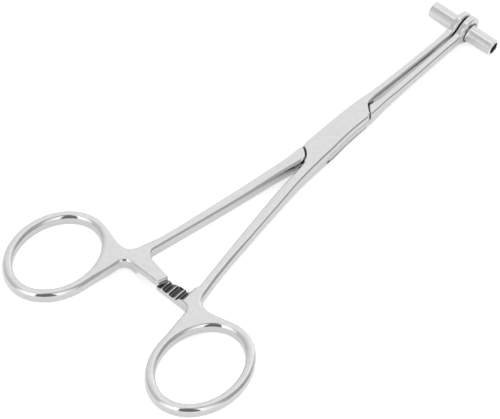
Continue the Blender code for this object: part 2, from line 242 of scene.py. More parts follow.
# Camera, fitted to the photograph's outlines: degrees, millimetres and pixels, and the range in metres
CAMERA_AZIMUTH = -56.312
CAMERA_ELEVATION = 50.211
CAMERA_ROLL = 8.975
CAMERA_DISTANCE = 511.156
CAMERA_FOCAL = 1951.989
CAMERA_TARGET = (-35.246, -0.365, 0.0)
PHOTO_WIDTH = 500
SENSOR_WIDTH = 36.0
NEAREST = 0.01
FARTHEST = 50

# Stage and light: the grey levels by degrees to the right of the camera's side
FLOOR_SIZE = 6.0
FLOOR_COLOUR = 0.9
FLOOR_GLOW_SEEN = 0.52
FLOOR_GLOW_MIRRORED = 0.25
CAMERA_SIDE = -146.3
WALL_LEVELS = ((-180, 1.05), (-135, 0.92), (-100, 0.7), (-62, 0.7), (-54, 0.82), (-49, 1.2),
               (-30, 1.45), (-8, 1.6), (-3, 0.2), (31, 0.2), (36, 1.45), (58, 1.1), (72, 0.55),
               (104, 0.45), (126, 0.72), (143, 1.22), (160, 1.14), (170, 1.05), (180, 1.05))
ROOF_LEVELS = ((-180, 1.05), (-160, 1.08), (-140, 1.25), (-108, 1.25), (-88, 0.8), (-60, 0.78),
               (-10, 1.1), (4, 0.8), (14, 0.28), (60, 0.3), (88, 0.7), (135, 0.9), (160, 1.1),
               (180, 1.05))
ROOF_RISE = (58, 76)
ZENITH_RISE = (80, 86)
ZENITH_LEVEL = 0.9


# Plan curves

def arc(centre, radius_u, radius_v, start, end, step=3.5):
    """Points along an ellipse, from one angle to another in degrees."""
    count = max(2, round(abs(end - start) / step))
    a = np.radians(np.linspace(start, end, count + 1))
    return [(centre[0] + radius_u * math.cos(t), centre[1] + radius_v * math.sin(t)) for t in a]


def fillet(before, corner, after, radius):
    """The arc that rounds a corner between two points."""
    corner = Vector(corner)
    to_before = (Vector(before) - corner).normalized()
    to_after = (Vector(after) - corner).normalized()
    half = to_before.angle(to_after) / 2
    reach = radius / math.tan(half)
    centre = corner + (to_before + to_after).normalized() * (radius / math.sin(half))
    first = corner + to_before * reach - centre
    last = corner + to_after * reach - centre
    start = math.atan2(first.y, first.x)
    turn = (math.atan2(last.y, last.x) - start + math.pi) % (2 * math.pi) - math.pi
    return arc(centre, radius, radius, math.degrees(start), math.degrees(start + turn), 6)


def towards(angle):
    """The unit vector at an angle in degrees."""
    return Vector((math.cos(math.radians(angle)), math.sin(math.radians(angle))))


def bend(start, start_heading, end, end_heading, count, pull=0.36):
    """A smooth curve that leaves and arrives at given headings."""
    start = Vector(start)
    end = Vector(end)
    reach = (end - start).length * pull
    leave = start + reach * towards(start_heading)
    enter = end - reach * towards(end_heading)
    points = []
    for i in range(count + 1):
        t = i / count
        s = 1 - t
        points.append(tuple(s**3 * start + 3 * s * s * t * leave + 3 * s * t * t * enter + t**3 * end))
    return points


def heading(start, end):
    return math.degrees(math.atan2(end[1] - start[1], end[0] - start[0]))


def trimmed(points, reach):
    """A line with its last reach taken off."""
    points = list(points)
    while math.dist(points[-1], points[-2]) < reach:
        reach -= math.dist(points[-1], points[-2])
        points.pop()
    last = Vector(points[-1])
    points[-1] = tuple(last + (Vector(points[-2]) - last).normalized() * reach)
    return points


def join(first, second, reach):
    """Two lines that meet in a corner, rounded over reach on both sides."""
    first = trimmed(first, reach)
    second = trimmed(second[::-1], reach)[::-1]
    leave = heading(first[-2], first[-1])
    enter = heading(second[0], second[1])
    turn = math.radians(abs((enter - leave + 180) % 360 - 180))
    pull = 2 * math.tan(turn / 4) / (3 * math.sin(turn / 2))
    return first + bend(first[-1], leave, second[0], enter, 10, pull)[1:-1] + second


def smooth(t):
    t = np.clip(t, 0.0, 1.0)
    return t * t * (3 - 2 * t)


def ramp(value, start, length):
    """A smooth rise from 0 to 1 that begins at start and takes length."""
    return smooth((value - start) / length)


def flip(points):
    return [(u, -v) for u, v in reversed(points)]


def subdivide(points, step=FINE):
    """A closed line with points no further apart than step, and none doubled."""
    dense = []
    for i, here in enumerate(points):
        there = points[(i + 1) % len(points)]
        gap = math.dist(here, there)
        if gap < CLOSEST:
            continue
        count = max(1, math.ceil(gap / step))
        run = there[0] - here[0]
        climb = there[1] - here[1]
        dense += [(here[0] + run * j / count, here[1] + climb * j / count) for j in range(count)]
    return np.array(dense)


def shank_edge(u, shift, side):
    """A point of the shank at u: on its middle line, or on the edge that side names."""
    back = -SHANK_SETBACK - u
    middle = SHANK_OFFSET + shift + SHANK_SLOPE * back + SHANK_CURVE * back * back
    narrow = smooth(back / (BAR_DISTANCE - SHANK_SETBACK - SHANK_EVEN))
    width = SHANK_WIDTH_AT_LOCK + (SHANK_WIDTH - SHANK_WIDTH_AT_LOCK) * narrow
    return (u, middle + side * width / 2)


def shank_points(shift, side):
    return [shank_edge(u, shift, side) for u in np.linspace(-WEB_START, -SHANK_SETBACK, 40)]


def exit_notch():
    """The edge of the box in front, where the other half's jaw comes out."""
    leave, arrive = EXIT_HEADINGS
    return bend((LOCK_EXIT, -LOCK_WIDTH / 2), leave, (LOCK_EXIT + EXIT_REACH, JAW_GAP / 2), arrive, 18)


def entry_notch():
    """The edge of the box behind, where the other half's shank goes in."""
    leave, arrive = ENTRY_HEADINGS
    inner = (-LOCK_ENTRY - ENTRY_REACH, -ENTRY_DEPTH)
    return bend((-LOCK_ENTRY, LOCK_WIDTH / 2), leave, inner, arrive, 20)


def opened(notch, gap, opening):
    """A notch's edge moved off by a gap that opens along it."""
    last = len(notch) - 1
    return [(u + gap + opening * i / last, v) for i, (u, v) in enumerate(notch)]


def lock_side(u):
    """Half the lock's width at u, which grows towards the shoulder."""
    grown = smooth((LOCK_WIDENS - u) / (LOCK_WIDENS + LOCK_ENTRY))
    return LOCK_WIDTH / 2 + (LOCK_SHOULDER - LOCK_WIDTH / 2) * grown


def jaw_faces(u):
    """The jaw's outer and inner v at u, pad included."""
    jaw_start = LOCK_EXIT + EXIT_REACH
    outer = np.interp(u, [jaw_start, JAW_TAPER_START, JAW_TAPER_END],
                      [JAW_GAP / 2 + JAW_WIDTH_AT_LOCK] * 2 + [PAD_GAP / 2 + PAD_THICKNESS])
    spread = ramp(u, jaw_start + SPREAD_BEGINS[0], SPREAD_BEGINS[1]) * (1 - ramp(u, *SPREAD_ENDS))
    closing = ramp(u, *PAD_CLOSES)
    inner = JAW_GAP / 2 + JAW_SPREAD * spread + (PAD_GAP - JAW_GAP) / 2 * closing
    return -outer, -inner


def jaw_outline():
    tip = JAW_LENGTH + PAD_RADIUS
    stations = np.arange(LOCK_EXIT + EXIT_REACH, tip - PAD_CORNER, FINE)
    outer = [(u, jaw_faces(u)[0]) for u in stations]
    inner = [(u, jaw_faces(u)[1]) for u in stations[::-1]]
    low, high = jaw_faces(tip)
    points = outer + arc((tip - PAD_CORNER, low + PAD_CORNER), PAD_CORNER, PAD_CORNER, -90, 0, 10)
    points += arc((tip - PAD_CORNER, high - PAD_CORNER), PAD_CORNER, PAD_CORNER, 0, 90, 10) + inner
    return points


def ring_and_web(shift):
    """The outline round the ring, the web and the ratchet bar, back to the shank."""
    centre = (-RING_DISTANCE, RING_OFFSET)
    radius_u = RING_LENGTH / 2
    radius_v = RING_BREADTH / 2
    ring = arc(centre, radius_u, radius_v, WEB_FRONT_ANGLE, 180, 1.5)
    ring += arc(centre, radius_u, radius_v, 180, WEB_REAR_ANGLE + 360, 1.5)[1:]
    points = bend(WEB_THROAT, 166, ring[0], 77, 40, 0.5)[:-1] + ring
    slope = math.radians(WEB_REAR_ANGLE)
    leave = Vector((-radius_u * math.sin(slope), radius_v * math.cos(slope))).normalized()
    rear = -BAR_DISTANCE - BAR_WIDTH / 2
    front = rear + BAR_WIDTH
    corner = Vector(ring[-1]) + leave * ((rear - ring[-1][0]) / leave.x)
    tip_rear = (rear, -BAR_PAST_CENTRE + BAR_END_SLANT / 2)
    tip_front = (front, -BAR_PAST_CENTRE - BAR_END_SLANT / 2)
    points += fillet(ring[-1], corner, tip_rear, WEB_REAR_FILLET)
    points += fillet(corner, tip_rear, tip_front, BAR_CORNER)
    root = shank_edge(rear + BAR_ROOT_WIDTH, shift, -1)
    points += fillet(tip_rear, tip_front, root, BAR_CORNER)
    points += fillet(tip_front, root, shank_edge(-WEB_START, shift, -1), BAR_ROOT_FILLET)
    return points


def male_rear():
    """The male half's full-height part behind its rear shoulder."""
    shift = -SHANK_SHIFT
    inner = shank_points(shift, -1)
    outer = shank_points(shift, 1)
    shoulder = opened(entry_notch(), -ENTRY_GAP, -ENTRY_OPENING)[::-1]
    shoulder = [(u, v) for u, v in shoulder if v > SHOULDER_CORNER]
    corner = (shoulder[0][0] - 0.15, SHOULDER_CORNER - 0.1)
    start = (shoulder[-1][0] - 0.01, LOCK_WIDTH / 2)
    outer_side = bend(start, 180, outer[-1], SHANK_HEADING, 24) + outer[:-1][::-1]
    inner_side = ring_and_web(shift) + inner[:-1] + bend(inner[-1], -8, corner, -10, 24)
    return join(inner_side, join(shoulder, outer_side, SHOULDER_ROUND), THROAT_ROUND)


def male_front():
    """The male half's full-height part ahead of its front shoulder."""
    shoulder = opened(exit_notch(), EXIT_GAP, EXIT_OPENING)
    jaw = jaw_outline()
    side = -LOCK_WIDTH / 2
    tip = shoulder[0][0]
    jaw_side = [(tip + 0.01, side), (tip + 0.6, side + 0.02)]
    jaw_side += bend((tip + 0.7, side + 0.03), 2, jaw[JAW_JOIN], 3, 12) + jaw[JAW_JOIN + 1:]
    inner_v = -JAW_GAP / 2
    face = [(u, v) for u, v in shoulder if v < inner_v]
    edge = (face[-1][0] + 0.02, inner_v)
    ahead = [(u, v) for u, v in jaw_side if not (v > inner_v - 0.05 and u < edge[0] + 0.3)]
    return close_corner(join(ahead, [edge] + face[::-1], JAW_ROOT_ROUND), JAW_CORNER_ROUND)


def close_corner(loop, reach):
    """A closed line with the corner between its last and first points rounded."""
    middle = len(loop) // 2
    return join(loop[middle:], loop[:middle], reach)


def male_waist():
    """The male half's thin middle, which fills the female half's slot."""
    side = LOCK_WIDTH / 2
    lean = math.degrees(math.asin(side / WAIST_RADIUS))
    wide_lean = math.degrees(math.asin(lock_side(-WAIST_RADIUS) / WAIST_RADIUS))
    neck = math.degrees(math.asin(JAW_GAP / 2 / WAIST_RADIUS))
    points = [*WAIST_ROOT, (-LOCK_ENTRY - ENTRY_REACH, -ENTRY_DEPTH + WAIST_INSET)]
    points += arc((0, 0), WAIST_RADIUS, WAIST_RADIUS, 180 + neck, 180 + wide_lean)
    points += [(u, -lock_side(u)) for u in np.linspace(-LOCK_WIDENS + WAIST_INSET, LOCK_EXIT, 36)]
    points += [(LOCK_EXIT + 1.0, -LOCK_WIDTH / 2 + WAIST_INSET), (LOCK_EXIT + EXIT_REACH + 1.0, -1.8)]
    points += [(LOCK_EXIT + EXIT_REACH + 0.8, -JAW_GAP / 2 - WAIST_INSET)]
    points += arc((0, 0), WAIST_RADIUS, WAIST_RADIUS, neck, lean)
    points += [(-LOCK_ENTRY, side), (-LOCK_ENTRY - 0.8, side - 0.4), (-LOCK_ENTRY - 2.5, side - 0.9)]
    return points


def female_outline():
    """The female half in one outline, from its ring round to its jaw and back."""
    shift = SHANK_SHIFT
    side = LOCK_WIDTH / 2
    inner = shank_points(shift, -1)
    outer = shank_points(shift, 1)
    rear = flip(entry_notch())
    front = flip(exit_notch())
    jaw = jaw_outline()
    ahead = [(u, -side) for u in (rear[-1][0] + 0.02, 0.0, LOCK_EXIT - 2.0)]
    ahead += bend((LOCK_EXIT, -side), 0, jaw[JAW_JOIN], 3, 12)[:-1] + jaw[JAW_JOIN:-1]
    behind = front[1:-1]
    sides = [(front[-1][0] - 0.02, side)]
    sides += [(u, lock_side(u)) for u in np.linspace(LOCK_WIDENS, -LOCK_WIDENS, 26)]
    points = ring_and_web(shift) + inner[:-1]
    points += bend(inner[-1], -7, rear[0], -8, 20)
    points += join(rear[1:], ahead, NOTCH_ROUND)
    points += join([jaw[-1]] + behind + [front[-1]], sides, NOTCH_ROUND)
    points += bend((-LOCK_ENTRY, LOCK_SHOULDER), 177, outer[-1], SHANK_HEADING, 24)
    points += outer[:-1][::-1]
    return points


# The forging's section

def stock_reach(u):
    """Half the forging's height."""
    swelling = ramp(u, -THICK_START, THICK_PEAK + THICK_START)
    thinning = ramp(u, THICK_PEAK, THICK_END - THICK_PEAK)
    behind = (STOCK_HEIGHT + (LOCK_HEIGHT - STOCK_HEIGHT) * swelling) / 2
    ahead = (LOCK_HEIGHT + (JAW_HEIGHT - LOCK_HEIGHT) * thinning) / 2
    return np.where(u < THICK_PEAK, behind, ahead)


def pad_reach(u, drop, squeeze):
    """Height of the jaw's end from the side: the jaw, a fillet and the round pad, moved in by drop."""
    x = u - JAW_LENGTH
    jaw = JAW_HEIGHT / 2 / squeeze
    span = PAD_RADIUS + PAD_FILLET
    start = -math.sqrt(span**2 - (jaw + PAD_FILLET)**2)
    turn = start - (PAD_FILLET + drop) * start / span
    round_pad = np.sqrt(np.maximum(0, (PAD_RADIUS - drop)**2 - x**2))
    throat = jaw + PAD_FILLET - np.sqrt(np.maximum(0, (PAD_FILLET + drop)**2 - (x - start)**2))
    reach = np.where(x < start, jaw - drop, np.where(x < turn, throat, round_pad))
    return reach * squeeze


def edge_radius(u, v, notch_edge, below):
    """Rounding of the forging's edges, with its own size across the notches and below the lock."""
    q = np.hypot((u + RING_DISTANCE) / (RING_LENGTH / 2), (v - RING_OFFSET) / (RING_BREADTH / 2))
    ring = 1 - ramp(q, 1, RING_BLEND)
    lock = ramp(u, *LOCK_EDGE_BEGINS) * (1 - ramp(u, *LOCK_EDGE_ENDS))
    jaw = ramp(u, *LOCK_EDGE_ENDS)
    lock_edge = LOCK_EDGE_BELOW if below else LOCK_EDGE
    base = STOCK_EDGE + (lock_edge - STOCK_EDGE) * lock + (JAW_EDGE - STOCK_EDGE) * jaw
    base = base + (PAD_RIM - JAW_EDGE) * ramp(u, *PAD_RIM_BEGINS)
    outer_side = ramp(v, shank_edge(u, 0, 0)[1], 0.8)
    base = base + (SHANK_END_EDGE - STOCK_EDGE) * ramp(-u, *SHANK_END_BEGINS) * outer_side
    base = base + (notch_edge - base) * in_notch(u, v, 0.5, 0.5)
    return base + (RING_EDGE - base) * ring


def side_bulge(u, v):
    """How far the forging's sides bulge at mid height."""
    lock = ramp(u, *LOCK_BULGE_BEGINS) * (1 - ramp(u, *LOCK_BULGE_ENDS))
    before_pad = 1 - ramp(u, *BULGE_ENDS)
    past_web = ramp(u + WEB_START, -8.0, 12.0)
    away = before_pad * (1 - in_notch(u, v, 0.6, 0.4)) * past_web
    outer_jaw = ramp(u, *JAW_BULGE_BEGINS) * ramp(-v, 0.6, 0.6)
    bulge = STOCK_BULGE + (LOCK_BULGE - STOCK_BULGE) * lock + (JAW_BULGE - STOCK_BULGE) * outer_jaw
    return bulge * away


def in_notch(u, v, early, late):
    """1 at the edges that face each other across the notches, 0 elsewhere."""
    entered = ramp(u + LOCK_ENTRY + ENTRY_REACH, NOTCH_MARGIN, early)
    rear = entered * (1 - ramp(u + LOCK_ENTRY, NOTCH_MARGIN, late))
    left = ramp(u - LOCK_EXIT, -NOTCH_MARGIN, late)
    front = left * (1 - ramp(u - LOCK_EXIT - EXIT_REACH, NOTCH_MARGIN, early))
    inside = 1 - ramp(abs(v) - LOCK_WIDTH / 2, -0.75, 0.5)
    return (rear + front) * inside


def rounded_plate(name, loops, top, notch_edge=SHOULDER_EDGE, slice_height=None):
    """A forging from closed outlines that have the material on their left.

    Top is the z sign that ends up above. With a slice height, only the flat middle slice is made.
    """
    shape = bmesh.new()
    caps = {1: [], -1: []}
    for loop in loops:
        before = np.roll(loop, 1, 0)
        after = np.roll(loop, -1, 0)
        ahead = after - before
        normal = np.stack([-ahead[:, 1], ahead[:, 0]], 1)
        normal /= np.linalg.norm(normal, axis=1)[:, None]
        bulge = side_bulge(loop[:, 0], loop[:, 1])
        rows = {}
        for side in (-1, 1):
            radius = edge_radius(loop[:, 0], loop[:, 1], notch_edge, side * top < 0)
            crown = bulge * (CROWN_ABOVE if side * top > 0 else 1.0)
            reach = stock_reach(loop[:, 0])
            wall = reach - radius
            for _ in range(LEAN_ROUNDS):
                lean = np.arctan2(2 * crown, wall)
                wall = reach - radius * (1 - np.sin(lean))
            for level in range(1 if side > 0 else 0, WALL_STEPS + 1):
                share = level / WALL_STEPS
                if slice_height:
                    share = share * slice_height / 2 / wall
                inset = crown * share**2 - bulge
                rows[side * level] = (inset, wall * share, share, radius)
            for level in range(1, 1 if slice_height else EDGE_STEPS + 1):
                tilt = lean + (math.pi / 2 - lean) * level / EDGE_STEPS
                inset = crown - bulge + radius * (np.cos(lean) - np.cos(tilt))
                height = wall + radius * (np.sin(tilt) - np.sin(lean))
                rows[side * (WALL_STEPS + level)] = (inset, height, 1.0, radius)
        grid = []
        for level in sorted(rows):
            inset, height, share, radius = rows[level]
            side = -1 if level < 0 else 1
            spot = loop + normal * (inset[:, None] if np.ndim(inset) else inset)
            grown = stock_reach(spot[:, 0]) / stock_reach(loop[:, 0])
            z = height * (1.0 if slice_height else grown)
            low, high = jaw_faces(spot[:, 0])
            rim = np.clip(np.minimum(spot[:, 1] - low, high - spot[:, 1]), 0, None)
            drop = radius - np.sqrt(np.maximum(0, radius**2 - np.maximum(0, radius - rim)**2))
            squeeze = 1.0 if side * top > 0 else PAD_DROP / PAD_RADIUS
            padded = pad_reach(spot[:, 0], drop, squeeze) * share
            in_pad = 0.0 * z if slice_height else ramp(spot[:, 0], *PAD_BEGINS)
            z = side * (z * (1 - in_pad) + padded * in_pad)
            grid.append([shape.verts.new((x, y, h)) for (x, y), h in zip(spot, z)])
        count = len(loop)
        notched = in_notch(loop[:, 0], loop[:, 1], 0.5, 0.5) > 0.6
        levels = sorted(rows)
        for row, (lower, upper) in enumerate(zip(grid, grid[1:])):
            in_wall = max(abs(levels[row]), abs(levels[row + 1])) <= WALL_STEPS and not slice_height
            for i in range(count):
                j = (i + 1) % count
                face = shape.faces.new((lower[i], lower[j], upper[j], upper[i]))
                # The walls that face each other across the notches are painted with shade
                face.material_index = SHADED if in_wall and notched[i] else POLISHED
        caps[-1].append(grid[0])
        caps[1].append(grid[-1])
    for side in (1, -1):
        flat = bmesh.new()
        edges = []
        owner = []
        for ring in caps[side]:
            made = [flat.verts.new((vert.co.x, vert.co.y, 0)) for vert in ring]
            owner += ring
            edges += [flat.edges.new((made[i], made[(i + 1) % len(made)])) for i in range(len(made))]
        flat.verts.index_update()
        bmesh.ops.triangle_fill(flat, use_beauty=True, edges=edges)
        for face in flat.faces:
            corners = [owner[vert.index] for vert in face.verts]
            if (face.normal.z > 0) != (side > 0):
                corners.reverse()
            shape.faces.new(corners).material_index = SLIDING if slice_height else POLISHED
        flat.free()
    bmesh.ops.remove_doubles(shape, verts=shape.verts, dist=SLIVER)
    bmesh.ops.dissolve_degenerate(shape, edges=shape.edges, dist=SLIVER)
    bmesh.ops.recalc_face_normals(shape, faces=shape.faces)
    body = to_object(name, shape)
    for finish in (polished, shaded, sliding):
        body.data.materials.append(finish)
    return body


def to_object(name, shape):
    mesh = bpy.data.meshes.new(name)
    shape.to_mesh(mesh)
    shape.free()
    body = bpy.data.objects.new(name, mesh)
    bpy.context.scene.collection.objects.link(body)
    return body


def prism(name, profile, matrix, depth):
    """A profile pushed half its depth to each side."""
    shape = bmesh.new()
    low = [shape.verts.new(matrix @ Vector((x, y, -depth / 2))) for x, y in profile]
    high = [shape.verts.new(matrix @ Vector((x, y, depth / 2))) for x, y in profile]
    shape.faces.new(low)
    shape.faces.new(high)
    for i in range(len(profile)):
        j = (i + 1) % len(profile)
        shape.faces.new((low[i], low[j], high[j], high[i]))
    bmesh.ops.recalc_face_normals(shape, faces=shape.faces)
    return to_object(name, shape)


def turned(name, profile, matrix, segments):
    """A closed profile of radius and height turned about its axis."""
    shape = bmesh.new()
    rings = []
    for i in range(segments):
        angle = 2 * math.pi * i / segments
        rings.append([shape.verts.new(matrix @ Vector((r * math.cos(angle), r * math.sin(angle), h)))
                      for r, h in profile])
    for i in range(segments):
        here = rings[i]
        there = rings[(i + 1) % segments]
        for j in range(len(profile)):
            k = (j + 1) % len(profile)
            shape.faces.new((here[j], there[j], there[k], here[k]))
    bmesh.ops.remove_doubles(shape, verts=shape.verts, dist=SLIVER)
    bmesh.ops.recalc_face_normals(shape, faces=shape.faces)
    return to_object(name, shape)


def combine(body, operation, other):
    """A Boolean of the body with another, which is then removed."""
    change = body.modifiers.new("combine", "BOOLEAN")
    change.operation = operation
    change.solver = "EXACT"
    change.material_mode = "TRANSFER"
    change.object = other
    bpy.context.view_layer.update()
    evaluated = body.evaluated_get(bpy.context.evaluated_depsgraph_get())
    mesh = bpy.data.meshes.new_from_object(evaluated)
    body.modifiers.clear()
    old = body.data
    body.data = mesh
    bpy.data.meshes.remove(old)
    bpy.data.objects.remove(other)


def cut(body, *cutters):
    for cutter in cutters:
        combine(body, "DIFFERENCE", cutter)


def welded(body):
    """Merges the points that Booleans leave within microns of each other, and closes what that opens."""
    shape = bmesh.new()
    shape.from_mesh(body.data)
    bmesh.ops.remove_doubles(shape, verts=shape.verts, dist=WELD)
    bmesh.ops.dissolve_degenerate(shape, edges=shape.edges, dist=WELD)
    bmesh.ops.holes_fill(shape, edges=[edge for edge in shape.edges if edge.is_boundary], sides=HOLE_SIDES)
    shape.to_mesh(body.data)
    shape.free()
    return body


def sideways(u):
    """Turns an upright axis to point along -v, at u."""
    return Matrix.Translation((u, 0, 0)) @ Matrix.Rotation(math.radians(90), 4, "X")


# Cutters

def slot_cutter():
    """The box's slot, open where the waist swings: on the right in front and on the left behind."""
    radius = WAIST_RADIUS + WAIST_GAP
    front_edge = JAW_GAP / 2 + WAIST_GAP
    rear_edge = ENTRY_DEPTH - 0.2 + WAIST_GAP
    front_lean = math.degrees(math.asin(front_edge / radius))
    rear_lean = math.degrees(math.asin(rear_edge / SLOT_REAR_RADIUS))
    profile = arc((0, 0), radius, radius, front_lean, 90)
    profile += [(0, FAR), (-2 * FAR, FAR), (-2 * FAR, -rear_edge)]
    profile += arc((0, 0), SLOT_REAR_RADIUS, SLOT_REAR_RADIUS, 180 + rear_lean, 250)
    profile += [(-1.5, -FAR), (2 * FAR, -FAR), (2 * FAR, front_edge)]
    middle = Matrix.Translation((0, 0, (WAIST_GAP_BELOW - WAIST_GAP) / 2))
    slot = prism("slot_cutter", flip(profile), middle, WAIST_HEIGHT + WAIST_GAP + WAIST_GAP_BELOW)
    # The slot's inside is painted with shade
    return painted(slot, lambda side: SHADED)


def painted(cutter, choose):
    """Gives each face of a cutter the finish that it leaves behind in the cut, painted shade included."""
    for finish in (polished, shaded, unpolished_and_shade):
        cutter.data.materials.append(finish)
    for polygon in cutter.data.polygons:
        polygon.material_index = choose(polygon)
    return cutter


def bar_frame():
    """Profile x along v, profile y along z, and depth along u, on the ratchet bar's line."""
    return Matrix(((0, 0, 1, -BAR_DISTANCE), (1, 0, 0, 0), (0, 1, 0, 0), (0, 0, 0, 1)))


def bar_cutter():
    """The stock cut away under the bar, up to a rise into the web."""
    face = TOOTH_GAP / 2
    start = FIRST_CREST + TOOTH_PITCH * (TOOTH_COUNT - 1) + TOOTH_CREST
    climb = face + STOCK_HEIGHT / 2 + CUT_CLEARANCE
    slope = [(start + WEB_RISE * t, face - climb * float(smooth(t))) for t in np.linspace(1, 0, 20)]
    profile = [(-FAR, -FAR), (slope[0][0], -FAR)] + slope + [(-FAR, face)]
    return painted(prism("bar_cutter", profile, bar_frame(), BAR_WIDTH * 3), lambda side: POLISHED)


def groove_cutter(index):
    """One groove of the ratchet: a steep side, a bright valley and a long slope.

    It ends inside the bar's rim. The last groove runs out into the web as a scoop.
    """
    face = TOOTH_GAP / 2
    near = FIRST_CREST + TOOTH_PITCH * index + TOOTH_CREST / 2
    far = near + TOOTH_PITCH - TOOTH_CREST
    valley = near + TOOTH_PITCH * VALLEY_SHARE
    deep = face + TOOTH_DEPTH
    section = [(near, face), (near + 0.04, face + 0.1), (valley - 0.06, deep - 0.08), (valley, deep),
               (valley + VALLEY_WIDTH, deep)]
    top = face - 0.5
    if index < TOOTH_COUNT - 1:
        section += [(valley + 0.5, deep - 0.1), (far - 0.4, face + 0.22), (far, face)]
    else:
        climb = TOOTH_DEPTH + face + STOCK_HEIGHT / 2 + CUT_CLEARANCE
        for t in np.linspace(0.06, 1, 18):
            section.append((valley + VALLEY_WIDTH + SCOOP_LENGTH * t, deep - climb * float(smooth(t))))
        top = -STOCK_HEIGHT
    middle = (near + far) / 2
    rear = -BAR_DISTANCE - BAR_WIDTH / 2 + GROOVE_RIM

    def section_at(u, share):
        grown = math.sqrt(1 - GROOVE_TAPER * share**2)
        narrowed = GROOVE_NARROW + (1 - GROOVE_NARROW) * grown
        return [(u, middle + (v - middle) * narrowed, face + (z - face) * (grown if z > face else 1.0))
                for v, z in section]

    steps = range(TAPER_STEPS + 1)
    rows = [section_at(rear + GROOVE_END * k / TAPER_STEPS, 1 - k / TAPER_STEPS) for k in steps]
    if index < TOOTH_COUNT - 1:
        rows.append(section_at(rear + BAR_WIDTH + GROOVE_OVERRUN, 0))
    else:
        front = rear + BAR_WIDTH + SCOOP_OVERRUN
        rows += [section_at(front + SCOOP_FADE * k / TAPER_STEPS, k / TAPER_STEPS) for k in steps]
    shape = bmesh.new()
    grid = []
    for row in rows:
        closed = row + [(row[-1][0], row[-1][1], top), (row[0][0], row[0][1], top)]
        grid.append([shape.verts.new(spot) for spot in closed])
    for here, there in zip(grid, grid[1:]):
        for i in range(len(here)):
            j = (i + 1) % len(here)
            shape.faces.new((here[i], here[j], there[j], there[i]))
    shape.faces.new(grid[0])
    shape.faces.new(grid[-1])
    bmesh.ops.recalc_face_normals(shape, faces=shape.faces)
    # The valley keeps the polished steel; the rest of the groove is unpolished steel with painted shade
    bright_start = valley - VALLEY_MARGIN
    bright_end = valley + VALLEY_WIDTH + VALLEY_MARGIN
    return painted(to_object("groove_cutter", shape),
                   lambda side: POLISHED if bright_start < side.center.y < bright_end else UNPOLISHED_AND_SHADE)


def ratchet_cutters(first):
    return [bar_cutter()] + [groove_cutter(index) for index in range(first, TOOTH_COUNT)]


def seam_cutter():
    """The seam between the waist and the lower plate, which opens toward the rear of the lock."""
    stations = (SEAM_FRONT, SEAM_MIDDLE, SEAM_REAR)
    profile = [(u, near) for u, near, far in stations]
    profile += [(u, far) for u, near, far in reversed(stations)]
    across = Matrix(((1, 0, 0, 0), (0, 0, 1, SEAM_SIDE), (0, 1, 0, 0), (0, 0, 0, 1)))
    # The seam's faces are painted with shade
    return painted(prism("seam_cutter", profile, across, SEAM_DEPTH), lambda side: SHADED)


def round_cutter(radius, matrix, segments=PIN_STEPS):
    return turned("round_cutter", [(0, -FAR), (radius, -FAR), (radius, FAR), (0, FAR)], matrix, segments)


def pin_hole():
    return round_cutter(PIN_DIAMETER / 2 + PIN_SEAM, Matrix.Identity(4))


def tube_hole():
    return round_cutter(TUBE_DIAMETER / 2 + TUBE_SEAM, sideways(JAW_LENGTH), ROUND_HOLE_STEPS)


# The pieces

def tube(name):
    """A receiving tube: a turned mouth whose lip is painted bright as a highlight, and the braze's fillet
    with painted shade at its toe.
    """
    outer = TUBE_DIAMETER / 2
    inner = TUBE_BORE / 2
    root = PAD_GAP / 2
    face = root + PAD_THICKNESS
    toe = outer + BRAZE_WIDTH
    sweep = BRAZE_WIDTH - TOE_ROUND
    profile = [(inner, root), (outer, root), (outer, face - TOE_SEAT), (toe - TOE_INSET, face - TOE_SEAT)]
    profile += [(toe, face - TOE_SEAT / 2), (toe, face + 0.04), (toe - 0.06, face + 0.07)]
    profile += [(toe - TOE_ROUND, face + TOE_HEIGHT)]
    centre = (toe - TOE_ROUND, face + TOE_HEIGHT + BRAZE_WIDTH - TOE_ROUND)
    profile += arc(centre, sweep, sweep, 270, 180, 11)[1:]
    straight = profile[-1][1]
    for share in np.linspace(0.06, 0.97, 9):
        profile.append((outer, straight + (TUBE_REACH - LIP_CHAMFER - straight) * share))
    rim = LIP_ROUND
    profile += [(outer, TUBE_REACH - LIP_CHAMFER - rim), (outer - 0.02, TUBE_REACH - LIP_CHAMFER)]
    profile += [(outer - LIP_CHAMFER + 0.02, TUBE_REACH - 0.01), (outer - LIP_CHAMFER - rim, TUBE_REACH)]
    profile += [(inner + LIP_CHAMFER + rim, TUBE_REACH), (inner + LIP_CHAMFER - 0.02, TUBE_REACH - 0.01)]
    profile += [(inner + 0.01, TUBE_REACH - LIP_CHAMFER), (inner, TUBE_REACH - LIP_CHAMFER - rim)]
    profile += [(inner, face + 1.0)]
    body = turned(name, profile, sideways(JAW_LENGTH), TURNED_STEPS)
    for finish in (turned_steel, braze_toe_painted_shade, lip_highlight_steel, bore_steel):
        body.data.materials.append(finish)
    for polygon in body.data.polygons:
        along = -polygon.center.y
        radius = math.hypot(polygon.center.x - JAW_LENGTH, polygon.center.z)
        if radius < inner + 0.01 and along < TUBE_REACH - LIP_CHAMFER:
            polygon.material_index = 3
        elif along > TUBE_REACH - LIP_CHAMFER:
            # The lip: steel painted bright as a highlight
            polygon.material_index = 2
        elif radius > toe - TOE_WIDTH and along < face + 0.25:
            # The braze's toe: painted shade
            polygon.material_index = 1
    return body


def pin():
    """The rivet, ground flush, with a hair's bevel at its seam."""
    radius = PIN_DIAMETER / 2
    reach = LOCK_HEIGHT / 2 - 0.001
    profile = [(0, -reach), (radius - PIN_SEAM, -reach), (radius, -reach + PIN_SEAM)]
    profile += [(radius, reach - PIN_SEAM), (radius - PIN_SEAM, reach), (0, reach)]
    body = turned("rivet", profile, Matrix.Identity(4), PIN_STEPS)
    body.data.materials.append(ground)
    return body


